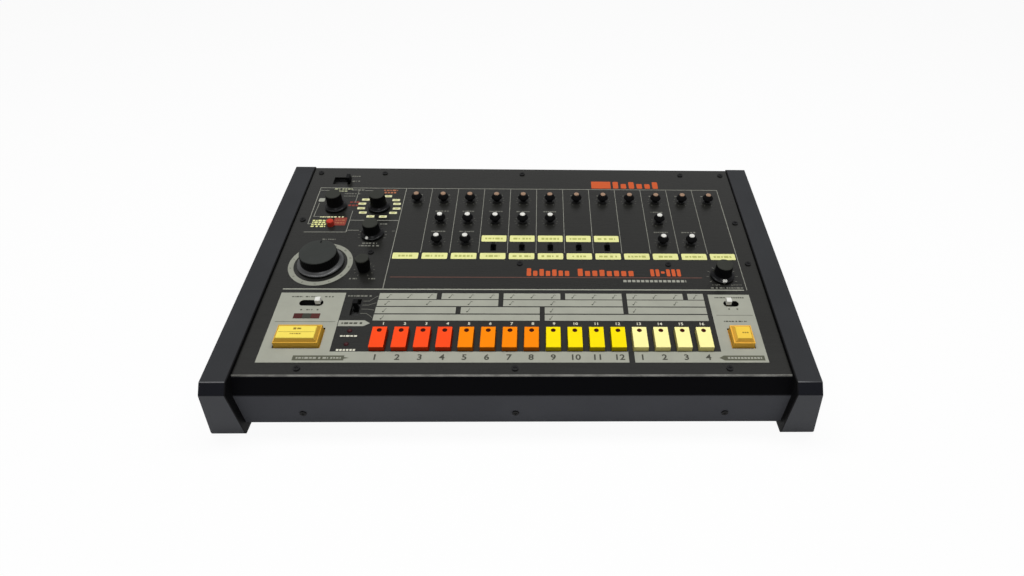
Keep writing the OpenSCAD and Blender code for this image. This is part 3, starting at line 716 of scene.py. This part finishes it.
# The rhythm rows: each row's lower and upper edge and the steps after which it is broken
ROWS = [(86.2, 93.7, (3, 6, 9, 12, 15)), (77.6, 85.3, (6, 12)), (68.6, 76.4, (4, 8, 12)),
        (60.1, 67.3, (8,))]
ROW_STEP, ROW_GAP, ROW_END = 18.37, 2.2, 167.0
for k, (v0, v1, breaks) in enumerate(ROWS):
    left = -123.0 - 0.3 * k
    for n in breaks:
        gap = -115.8 + ROW_STEP * (n - 0.5)
        plate.rect(left, v0, gap - ROW_GAP, v1)
        left = gap + ROW_GAP
    plate.rect(left, v0, ROW_END, v1)
plate.rect(-210.3, 98.1, 205.8, 99.35)
plate.soft(-208.6, 228.2, -202.6, 234.0, 1.2)
plate.outline([(-152.3, 53.4), (-130.4, 53.4), (-125.4, 56.8), (-130.4, 60.2), (-152.3, 60.2)])
plate.make()

RING_IN, RING_OUT, NUMBERS_R = 24.4, 29.3, 27.0
ring = Ink("print_tempo_ring", "ring", 0.06, slot="key_cream")
ring.ring(*TEMPO_RING, RING_IN, RING_OUT)
ring.make()

# ---- Printed lines ----
FRAME_T, RULE_T, HAIR_T = 0.62, 0.5, 0.45       # the strokes' widths
lines = Ink("print_lines", "white", 0.08, slot="key_cream")
for pts, t in [
    ([(-211.3, 252.3), (208.5, 252.3)], FRAME_T),
    ([(-211.3, 252.3), (-210.5, 191.7), (-205.3, 191.7)], FRAME_T),
    ([(-210.1, 247.8), (-197.5, 247.8)], RULE_T),
    ([(-164.0, 247.8), (-150.0, 247.8)], RULE_T),
    ([(-206.9, 225.5), (-207.5, 203.3), (-201.0, 203.3)], RULE_T),
    ([(-211.2, 179.0), (-170.5, 179.2), (-170.5, 197.8), (-122.5, 197.8)], FRAME_T),
    ([(-170.5, 198.4), (-170.5, 213)], HAIR_T),
    ([(-170.5, 227), (-170.5, 247.4)], HAIR_T),
    ([(-169.2, 182), (-158.7, 182)], RULE_T),
]:
    lines.line(pts, t)
for i in range(VOICES + 1):
    foot, t = (98.9, 0.55) if i in (0, VOICES) else (149.4, 0.42)
    lines.line([(voice_edge(i), 251.9), (voice_edge(i), foot)], t)
lines.dashes(96.5, 154.5, 110.3, 3.3, 5)
lines.make()

bright = Ink("print_bright_marks", "bright", 0.10, slot="key_cream")
for i in range(STEPS):
    bright.text(str(i + 1), 4.2, key_u(i) + 0.9, 56.4, wide=1.1, bold=0.02)
bright.disc(189.3, 108.9, 1.9)
bright.rows((-147.7, -133.6, 42.1, 2.2, 2), (-147.8, -132.2, 26.6, 2.2, 5))
bright.poly([(-197.0, 229.6), (-193.0, 229.6), (-195.0, 233.0)])
bright.make()

faint = Ink("print_small_marks", "faint", 0.08, slot="key_cream")
faint.rows(
    (-182.6, -174.1, 273.5, 2.2, 3), (-180.8, -172.4, 264.5, 2.2, 4),
    (-154.3, -134.3, 158.7, 2.2, 6), (-151.5, -137.5, 162.4, 2.0, 1),
    (-139.5, -131.6, 192.0, 2.0, 2), (-126.0, -122.8, 181.0, 1.2, 3),
    (-154.2, -147.0, 112.4, 2.0, 8), (-136.6, -129.8, 112.5, 2.0, 9),
    (-190.8, -178.2, 168.0, 1.9, 4), (176.1, 205.6, 101.6, 2.2, 7),
    (-150.6, -129.5, 90.0, 2.3, 3), (-178.3, -164.7, 248.8, 2.6, 2),
    (-184.5, -167.6, 242.2, 1.8, 6), (-184.5, -168.6, 238.0, 1.6, 3),
    (177.7, 185.1, 105.6, 0.9, 4), (197.1, 205.5, 105.6, 0.9, 6))
for i in range(VOICES):
    faint.dashes(voice_u(i) - 5.5, voice_u(i) + 5.5, 241.0, 1.7, i + 1)
for c in TONE:
    faint.dashes(voice_u(c) - 6.6, voice_u(c) + 6.6, 213.4, 1.8, c)
for c in DECAY:
    faint.dashes(voice_u(c) - 7.0, voice_u(c) + 7.0, 181.0, 1.8, c + 2)
DIAL = [240 - 30 * k for k in range(11)]
for _, voices, v, _ in SMALL_KNOBS:
    for c in voices:
        faint.ticks(voice_u(c), v, 6.9, 7.9, DIAL, 0.3)
faint.ticks(*VOLUME, 12.6, 14.4, DIAL, RULE_T)
faint.ticks(*FILL, 12.4, 13.8, [200, 180, 160, 20, 0, -20], HAIR_T)
faint.ticks(*FINE, 8.4, 9.6, DIAL, 0.4)
for v0, v1, u1 in [(83.5, 90.0, -123.8), (78.6, 81.4, -124.2), (73.6, 72.5, -124.6),
                   (68.4, 63.7, -125.0)]:
    faint.line([(-135.6, v0), (-130.6, v0), (-127.6, (v0 + v1) / 2), (u1, v1)], HAIR_T)
faint.make()

# ---- Yellow labels and pads ----
LABEL_U0, LABEL_U1, LABEL_R = 1.7, 25.9, 1.1    # from a voice's left edge
PAD_HALF_U, PAD_HALF_V, PAD_R = 3.9, 1.75, 0.6
yellow = Ink("print_yellow_labels", "yellow", 0.08, slot="key_cream")
for voices, v0, v1 in [(SWITCHED, 165.7, 175.1), (range(VOICES), 140.1, 148.8)]:
    for i in voices:
        yellow.soft(voice_edge(i) + LABEL_U0, v0, voice_edge(i) + LABEL_U1, v1, LABEL_R)
for v, seed in ((197.0, 2), (194.2, 6), (191.0, 5), (187.8, 7)):
    yellow.dashes(-206.9, -192.6, v, 2.5, seed)
yellow.make()
PADS = [(-160.7, 232.1), (-163.1, 225.1), (-162.8, 217.4), (-159.8, 210.3), (-151.1, 204.1),
        (-138.6, 203.9), (-129.3, 210.1), (-126.8, 217.2), (-127.6, 225.1), (-129.4, 231.6),
        (-138.7, 238.1)]
pads = Ink("print_pads", "pad", 0.08, slot="key_cream")
for u, v in PADS:
    pads.soft(u - PAD_HALF_U, v - PAD_HALF_V, u + PAD_HALF_U, v + PAD_HALF_V, PAD_R)
pads.dashes(-201.0, -177.6, 202.9, 2.2, 3)
pads.make()
moss = Ink("print_moss", "moss", 0.085, slot="key_cream")
moss.rows((-196.5, -178.0, 250.4, 2.8, 4), (-195.0, -181.0, 246.6, 2.4, 6))
moss.make()

olive = Ink("print_label_marks", "olive", 0.12, slot="key_cream")
for i in SWITCHED:
    olive.dashes(voice_u(i) - 8.5, voice_u(i) + 8.5, 170.3, 3.1, i)
for i in range(VOICES):
    half = 8.5 if i % 3 else 6.5
    olive.dashes(voice_u(i) - half, voice_u(i) + half, 144.4, 3.1, i + 3)
for u, v in PADS:
    olive.box(u, v, 3.4, 1.2)
olive.make()

# ---- Orange and red print: plain bars in place of words, as left end, pitch and heights ----
BARS_V, LOW_BAR, LOW_BAR_V = 116.9, 3.0, 120.6
UPPER_V, UPPER_PITCH = 254.4, 8.5
WORD_BARS = [(7.6, 5.9, (10.4, 7.0, 9.4, 7.0, 8.8, 7.4, 7.0)),
             (55.0, 6.75, (10.0, 7.0, 7.4, 8.6, 7.0, 7.4, 7.0, 7.2)),
             (122.8, 4.97, (9.6, 9.6, LOW_BAR, 9.6, 9.6, 9.6))]
orange = Ink("print_orange", "orange", 0.09, slot="key_orange")
for u, pitch, heights in WORD_BARS:
    for k, tall in enumerate(heights):
        low = LOW_BAR_V if tall == LOW_BAR else BARS_V
        orange.soft(u + pitch * k, low, u + pitch * (k + 0.68), low + tall, 0.8)
orange.rect(74.5, 254.2, 95.2, 266.8)
for k, tall in enumerate((12.2, 8.4, 12.0, 8.6, 8.2, 12.0)):
    orange.soft(97.6 + UPPER_PITCH * k, UPPER_V, 103.4 + UPPER_PITCH * k, UPPER_V + tall, 1.2)
orange.make()
amber = Ink("print_amber", "amber", 0.09, slot="key_orange")
amber.rows((-144.5, -130.0, 248.4, 2.8, 3), (-143.5, -131.0, 244.4, 2.6, 5))
amber.make()
line = Ink("print_orange_line", "orange_line", 0.08, slot="key_orange")
line.rect(-117.5, 114.4, 170.0, 115.3)
line.make()

red = Ink("print_red", "red_ink", 0.09, slot="button_red")
red.soft(-186.0, 189.4, -173.5, 202.0, 1.2)
red.rows((-176.0, -166.4, 227.6, 2.9, 2), (-176.6, -166.8, 222.2, 2.9, 5))
red.make()
amber_on = Ink("print_red_marks", "amber", 0.12, slot="key_orange")
amber_on.rows((-184.4, -175.0, 197.6, 2.0, 3), (-184.4, -175.0, 193.4, 2.0, 6))
amber_on.make()

# ---- Dark print on the grey plates ----
ink = Ink("print_dark", "ink", 0.11, slot="knob_black")
for i in range(STEPS):
    number, shift = (i + 1, -0.2) if i < 12 else (i - 11, 0.6)
    ink.text(str(number), 8.2, key_u(i) + shift, 18.6, wide=1.1, bold=0.025)
for n in range(STEPS):
    for row, (v0, v1, _) in enumerate(ROWS):
        if n % 2 ** row:
            continue
        u, v = key_u(n) + 0.5 - 0.6 * row, (v0 + v1) / 2
        ink.line([(u - 0.9, v - 1.8), (u + 0.9, v + 2.0)], HAIR_T)
        ink.disc(u - 1.3, v - 1.8, 0.75, 12)
        if row < 2:
            ink.line([(u + 0.9, v + 2.0), (u + 2.2, v + 1.4)], HAIR_T)
ink.line([(-206.2, 58.5), (-155.4, 58.5)], 0.4)
ink.line([(174.9, 67.0), (206.7, 67.0)], 0.4)
ink.rows((-199.5, -190.0, 88.9, 1.7, 2), (-187.5, -177.5, 88.9, 1.7, 4),
         (-170.5, -163.0, 88.9, 1.7, 7), (177.0, 186.5, 88.9, 1.6, 3),
         (192.0, 204.0, 88.9, 1.6, 5), (180.0, 200.0, 59.6, 1.7, 6))
ink.box(-187.6, 72.8, 1.5, 1.5)
ink.dashes(-183.2, -178.0, 72.8, 1.5, 4)
ink.box(-173.5, 72.8, 1.5, 1.5)
ink.box(187.5, 74.6, 1.4, 1.5)
ink.box(194.8, 74.6, 1.4, 1.5)
ink.dashes(-149.6, -131.6, 56.8, 2.6, 6)
for k in range(12):
    a = math.radians(-220 + k * 26.5)
    u, v = TEMPO_RING[0] + NUMBERS_R * math.cos(a), TEMPO_RING[1] + NUMBERS_R * math.sin(a)
    ink.text(str(k * 2), 2.6, u, v, turn=math.degrees(a) - 90)
ink.make()
boxes = Ink("print_arrow_boxes", "box", 0.11, slot="knob_black")
boxes.poly([(-181.3, 15.4), (-139.6, 15.4), (-139.6, 17.2), (-135.4, 18.05), (-139.6, 18.9),
            (-139.6, 20.7), (-181.3, 20.7)])
boxes.poly([(206.3, 15.4), (206.3, 20.7), (172.6, 20.7), (168.4, 18.05), (172.6, 15.4)])
boxes.make()
pale = Ink("print_arrow_marks", "plate", 0.14, slot="key_cream")
pale.rows((-178.5, -141.0, 18.05, 2.2, 3), (175.5, 204.0, 18.05, 2.2, 5))
pale.make()

# ---- Window bar under the left slot ----
WINDOW_V, WINDOW_W, WINDOW_HALF, WINDOW_EDGE = 65.3, 7.5, 3.0, 0.35
for name, u in (("window_left", -188.6), ("window_mid", -181.1), ("window_right", -173.6)):
    pts = box_loop(0, 0, WINDOW_W, 2 * WINDOW_HALF)
    in_x, in_y = 1 - 2 * WINDOW_EDGE / WINDOW_W, 1 - WINDOW_EDGE / WINDOW_HALF
    verts = [(x, y, 0.0) for x, y in pts] + [(x, y, 0.25) for x, y in pts] \
        + [(x * in_x, y * in_y, 0.45) for x, y in pts]
    faces = []
    for layer in (0, 4):
        for k in range(4):
            j = (k + 1) % 4
            faces.append((layer + k, layer + j, layer + 4 + j, layer + 4 + k))
    faces.append((8, 9, 10, 11))
    piece(name, verts, faces, [name], "case", at(u, WINDOW_V, 0.0))

# ---- Marks on the buttons ----
start_marks = Ink("start_marks", "brown", BUTTON_MARKS, "start_button", at(*START), "button_gold")
start_marks.rect(-14.6, -1.35, 14.6, -1.0)
start_marks.rect(-3.0, 1.4, -0.6, 3.6)
start_marks.rect(0.2, 1.6, 3.4, 3.4)
start_marks.dashes(-4.6, 4.2, -3.2, 1.5, 3)
start_marks.make()
tap_marks = Ink("tap_marks", "brown", BUTTON_MARKS, "tap_button", at(*TAP), "button_gold")
tap_marks.dashes(-1.2, 4.2, -1.5, 1.5, 5)
tap_marks.make()

# ---- Rear fittings, in millimetres ----
REAR_Y = 150.0
JACKS, JACK_X, JACK_PITCH, JACK_Z = 16, -160.5, 23, 44
NUT_FLATS, NUT_BORE, NUT_T, NUT_OUT = 11.0, 4.85, 1.9, 1.42
SYNC_X, SYNC_Z = 150, 72


def rear(x, z, y=0.0):
    """A frame on the rear face with +Z pointing out of it."""
    return Matrix.Scale(MM, 4) @ Matrix.Translation((x, REAR_Y + y, z)) \
        @ Matrix.Rotation(math.radians(-90), 4, "X")


def hex_nut(name, x, z):
    """A nut with rounded corners round a jack's bore."""
    verts, faces = [], []
    r, n = NUT_FLATS / math.sqrt(3), 36
    turns = [2 * math.pi * j / n for j in range(n)]
    for h, k in ((0.0, 1.0), (NUT_T - 0.35, 1.0), (NUT_T, 0.93)):
        for a in turns:
            m = r * math.cos(math.pi / 6) / math.cos((a % (math.pi / 3)) - math.pi / 6)
            m = min(m, r * 0.965) * k
            verts.append((m * math.cos(a), m * math.sin(a), h))
    for h in (NUT_T, NUT_T - 0.5, 0.0):
        verts += [(NUT_BORE * math.cos(a), NUT_BORE * math.sin(a), h) for a in turns]
    for i in range(6):
        near, far = i * n, (i + 1) % 6 * n
        for j in range(n):
            k = (j + 1) % n
            faces.append((near + j, near + k, far + k, far + j))
    piece(name, verts, faces, ["nickel"], "case", rear(x, z, NUT_OUT), smooth=NUT_SHARP)


for i in range(JACKS):
    hex_nut("jack_nut_%d" % (i + 1), JACK_X + JACK_PITCH * i, JACK_Z)

turned("sync_rim", [(7.0, 1.22, 0, 0), (8.4, 1.22, 0, 0), (8.4, 1.7, 0, 0), (8.0, 2.0, 0, 0),
                    (7.2, 2.0, 0, 0), (6.95, 1.7, 0, 0), (6.95, -7.9, 0, 0)],
       ["nickel"], "case", rear(SYNC_X, SYNC_Z), 64, cap=False)
PIN_RINGS = [(0.7, -7.9, 0, 0), (0.7, -2.2, 0, 0), (0.4, -1.7, 0, 0), (0.1, -1.6, 0, 0)]
for k in range(5):
    a = math.radians(90 + (k - 2) * 45)
    place = Matrix.Translation((4.0 * math.cos(a), -4.0 * math.sin(a), 0))
    turned("sync_pin_%d" % (k + 1), PIN_RINGS, ["pin"], "case", rear(SYNC_X, SYNC_Z) @ place, 16)

# The rear's print is drawn as it is read from behind, so x is turned round
REAR = Matrix(((-MM, 0, 0, 0), (0, 0, MM, REAR_Y * MM), (0, MM, 0, 0), (0, 0, 0, 1)))
rear_ink = Ink("print_rear", "white", 0.06, matrix=REAR, slot="key_cream")
for i in range(JACKS):
    x = -(JACK_X + JACK_PITCH * i)
    number = i + 1 if i < 2 else (i - 1 if i < 13 else i - 12)
    rear_ink.text(str(number), 4.0, x, 55.5)
    rear_ink.line([(x - 8, 52.2), (x + 8, 52.2)], 0.35)
rear_ink.make()

# ---- Floor, backdrop and light ----
FLOOR_SIDE, FLOOR_WHITE, SKY_STRENGTH = 28, 0.94, 0.12
AIM = Vector((0, 0, 0.06))


def new_tree(owner):
    owner.use_nodes = True
    owner.node_tree.nodes.clear()
    return owner.node_tree


def seen(tree):
    """1 for camera, glossy and transmission rays, and 0 for the rays that light the scene."""
    paths = tree.nodes.new("ShaderNodeLightPath")
    value = paths.outputs["Is Camera Ray"]
    for other in ("Is Glossy Ray", "Is Transmission Ray"):
        n = tree.nodes.new("ShaderNodeMath")
        n.operation = "MAXIMUM"
        tree.links.new(value, n.inputs[0])
        tree.links.new(paths.outputs[other], n.inputs[1])
        value = n.outputs[0]
    return value


def shader(tree, kind, colour, strength=None):
    n = tree.nodes.new(kind)
    n.inputs["Color"].default_value = colour
    if strength is not None:
        n.inputs["Strength"].default_value = strength
    return n.outputs[0]


def blend(tree, fac, first, second, output):
    """The first shader where fac is 0, the second where it is 1."""
    mix = tree.nodes.new("ShaderNodeMixShader")
    for k, socket in enumerate((fac, first, second)):
        tree.links.new(socket, mix.inputs[k])
    tree.links.new(mix.outputs[0], tree.nodes.new(output).inputs["Surface"])


floor_look = bpy.data.materials.new("floor_look")
tree = new_tree(floor_look)
share = tree.nodes.new("ShaderNodeMath")
share.operation = "MULTIPLY"
share.inputs[1].default_value = FLOOR_WHITE
tree.links.new(seen(tree), share.inputs[0])
blend(tree, share.outputs[0], shader(tree, "ShaderNodeBsdfDiffuse", (0.86, 0.86, 0.86, 1)),
      shader(tree, "ShaderNodeEmission", (1, 1, 1, 1), 1.0), "ShaderNodeOutputMaterial")

me = bpy.data.meshes.new("floor")
me.from_pydata([(x, y, 0) for x, y in box_loop(0, 0, FLOOR_SIDE, FLOOR_SIDE)], [],
               [(0, 1, 2, 3)])
me.materials.append(floor_look)
floor = bpy.data.objects.new("floor", me)
bpy.context.scene.collection.objects.link(floor)

world = bpy.data.worlds.new("world")
bpy.context.scene.world = world
tree = new_tree(world)
blend(tree, seen(tree), shader(tree, "ShaderNodeBackground", (0.95, 0.97, 1, 1), SKY_STRENGTH),
      shader(tree, "ShaderNodeBackground", (1, 1, 1, 1), 1.0), "ShaderNodeOutputWorld")


def lamp(name, place, size, watts):
    """A wide soft light that points at the machine; its size is in metres."""
    d = bpy.data.lights.new(name, "AREA")
    d.shape, d.size, d.size_y, d.energy = "RECTANGLE", size[0], size[1], watts
    ob = bpy.data.objects.new(name, d)
    bpy.context.scene.collection.objects.link(ob)
    ob.location = place
    ob.rotation_euler = (AIM - Vector(place)).to_track_quat("-Z", "Y").to_euler()


lamp("key_light", (0, 0.1, 1.35), (1.6, 0.4), 18.5)
lamp("front_light", (0, -1.15, 1.1), (0.5, 0.4), 4.6)

bpy.context.scene.view_settings.view_transform = "Standard"
